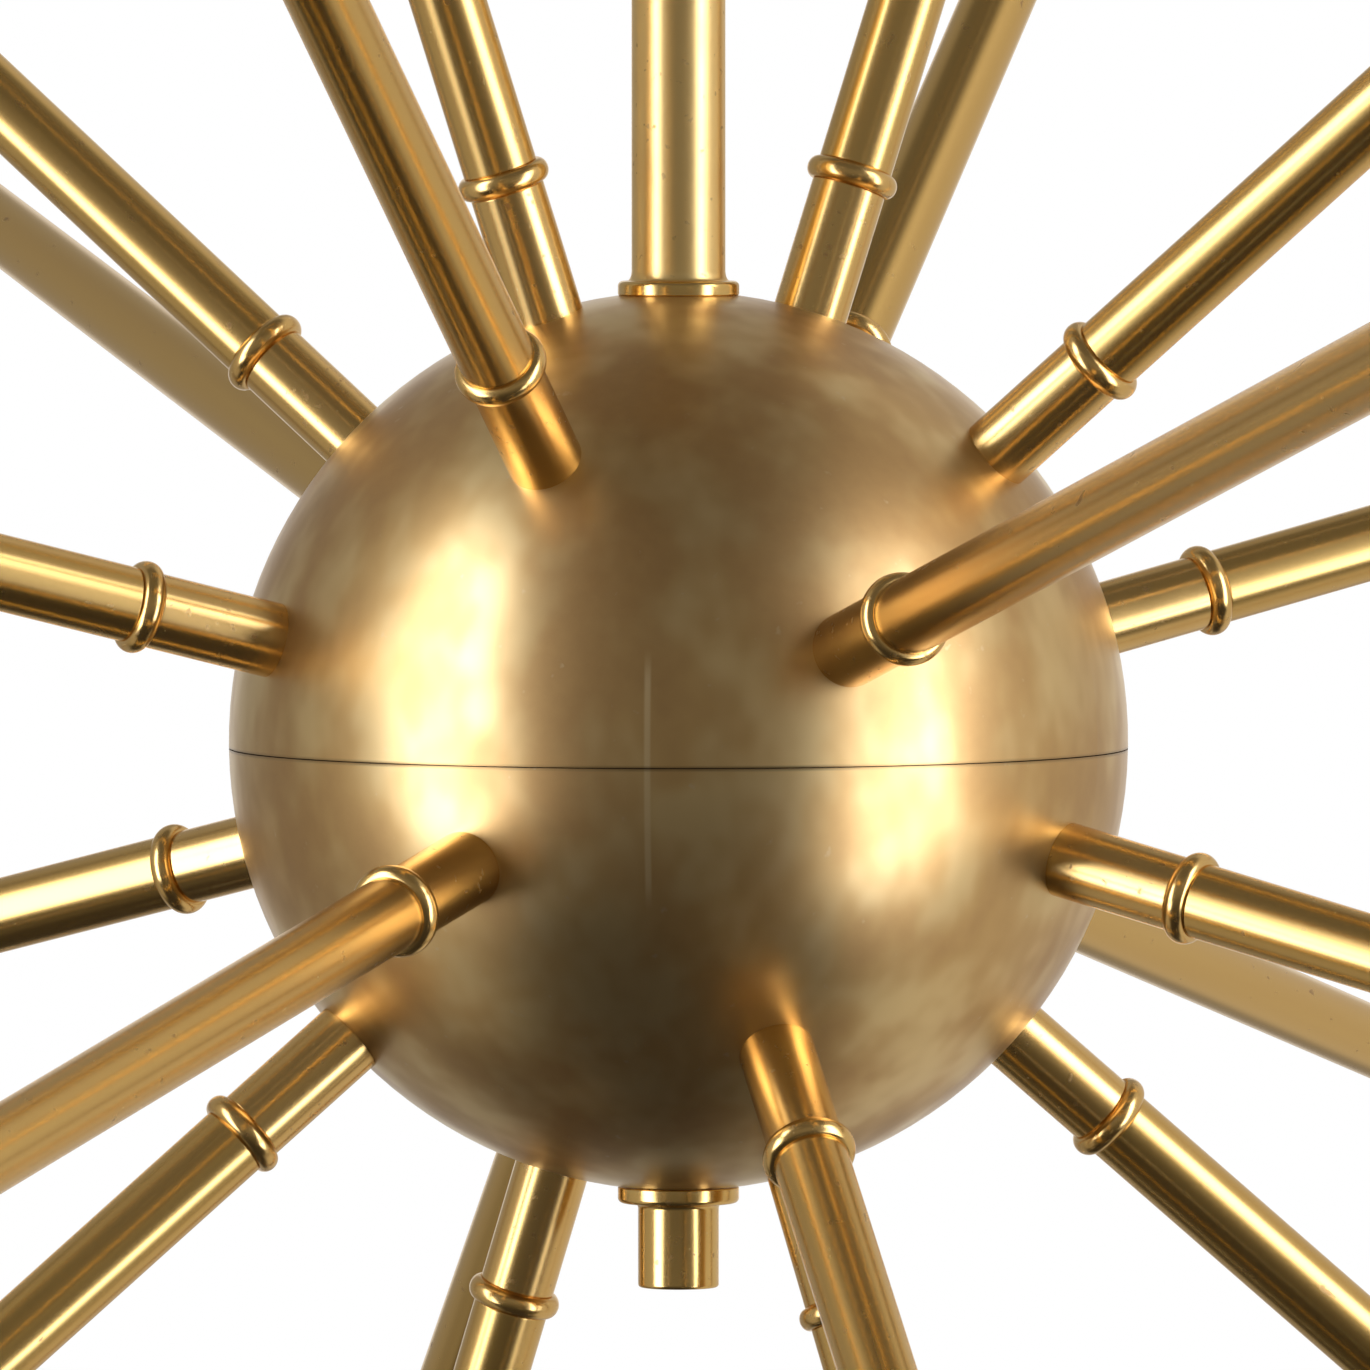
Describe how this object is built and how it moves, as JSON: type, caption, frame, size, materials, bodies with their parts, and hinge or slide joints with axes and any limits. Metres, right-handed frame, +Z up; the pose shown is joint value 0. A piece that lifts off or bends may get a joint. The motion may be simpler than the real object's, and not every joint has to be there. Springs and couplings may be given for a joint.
{
  "type": "chandelier",
  "caption": "Sputnik chandelier: a brass ball with beaded radiating arms and round bulbs, on a stem that hangs from a ceiling canopy.",
  "frame": {"origin": "on the ceiling plane, midway between the ceiling bracket's two screw slots", "axes": "+Z up out of the bracket into the ceiling; X along the bracket's row of slots; -Y is the front"},
  "size_m": [0.9046, 0.9046, 1.0647],
  "materials": {
    "satin_brass": "brushed satin brass with a brown patina",
    "polished_brass": "polished brass, lightly tarnished",
    "aged_brass_tube": "drawn brass tube, satin and lightly tarnished",
    "turned_brass": "turned brass",
    "zinc_plated_steel": "zinc plated",
    "black_phenolic": "black moulded, satin",
    "nickel_cap": "nickel-plated screw cap",
    "opal_globe": "opal, satin",
    "white_nylon": "moulded nylon",
    "black_lead": "flexible insulated lead",
    "white_lead": "flexible insulated lead"
  },
  "bodies": {
    "ceiling_mount": {"ceiling_bracket": "zinc_plated_steel", "swivel_upper_fork": "turned_brass", "swivel_lock_nut": "zinc_plated_steel", "swivel_short_pins": "zinc_plated_steel", "earth_screw": "zinc_plated_steel"},
    "swivel": {"swivel_block": "turned_brass"},
    "hanging": {"swivel_lower_fork": "turned_brass", "swivel_long_pin": "zinc_plated_steel", "stem": "polished_brass", "top_flange_washer": "polished_brass", "ball_upper_shell": "satin_brass", "ball_lower_shell": "satin_brass", "centre_rod": "zinc_plated_steel", "inner_washer": "zinc_plated_steel", "rod_nut": "zinc_plated_steel", "terminal_block": "white_nylon", "terminal_screws": "zinc_plated_steel", "supply_lead": "black_lead", "junction_block": "white_nylon", "arm_sleeves": "polished_brass", "bead_rings": "polished_brass", "arm_nipples": "zinc_plated_steel", "arm_lock_nuts": "zinc_plated_steel", "arm_leads": "white_lead", "lamp_cups": "satin_brass", "lamp_holders": "black_phenolic", "bulb_caps": "nickel_cap", "bulbs": "opal_globe", "arm_tube_01": "aged_brass_tube", "arm_tube_02": "aged_brass_tube", "arm_tube_03": "aged_brass_tube", "arm_tube_04": "aged_brass_tube", "arm_tube_05": "aged_brass_tube", "arm_tube_06": "aged_brass_tube", "arm_tube_07": "aged_brass_tube", "arm_tube_08": "aged_brass_tube", "arm_tube_09": "aged_brass_tube", "arm_tube_10": "aged_brass_tube", "arm_tube_11": "aged_brass_tube", "arm_tube_12": "aged_brass_tube", "arm_tube_13": "aged_brass_tube", "arm_tube_14": "aged_brass_tube", "arm_tube_15": "aged_brass_tube", "arm_tube_16": "aged_brass_tube", "arm_tube_17": "aged_brass_tube", "arm_tube_18": "aged_brass_tube", "arm_tube_19": "aged_brass_tube", "arm_tube_20": "aged_brass_tube"},
    "canopy_set": {"canopy": "satin_brass", "canopy_collar": "polished_brass", "collar_grub_screw": "zinc_plated_steel"},
    "washer": {"finial_washer": "polished_brass"},
    "finial": {"finial": "polished_brass"}
  },
  "joints": [
    {"name": "swing_side_to_side", "type": "hinge", "parent": "ceiling_mount", "child": "swivel", "pos_m": [0, 0, -0.026], "axis": [0, 1, 0], "range_deg": [-12, 12]},
    {"name": "swing_front_to_back", "type": "hinge", "parent": "swivel", "child": "hanging", "pos_m": [0, 0, -0.026], "axis": [1, 0, 0], "range_deg": [-12, 12]},
    {"name": "canopy_slide", "type": "slide", "parent": "hanging", "child": "canopy_set", "axis": [0, 0, -1], "range_m": [0, 0.28]},
    {"name": "finial_washer_drop", "type": "slide", "parent": "hanging", "child": "washer", "axis": [0, 0, -1], "range_m": [0, 0.009]},
    {"name": "finial_turn", "type": "hinge", "parent": "washer", "child": "finial", "pos_m": [0, 0, -0.687], "axis": [0, 0, -1], "range_deg": [0, 3240]}
  ],
  "couplings": [
    {"joint": "finial_washer_drop", "follows": "finial_turn", "m_per_rad": 0.00015915}
  ]
}
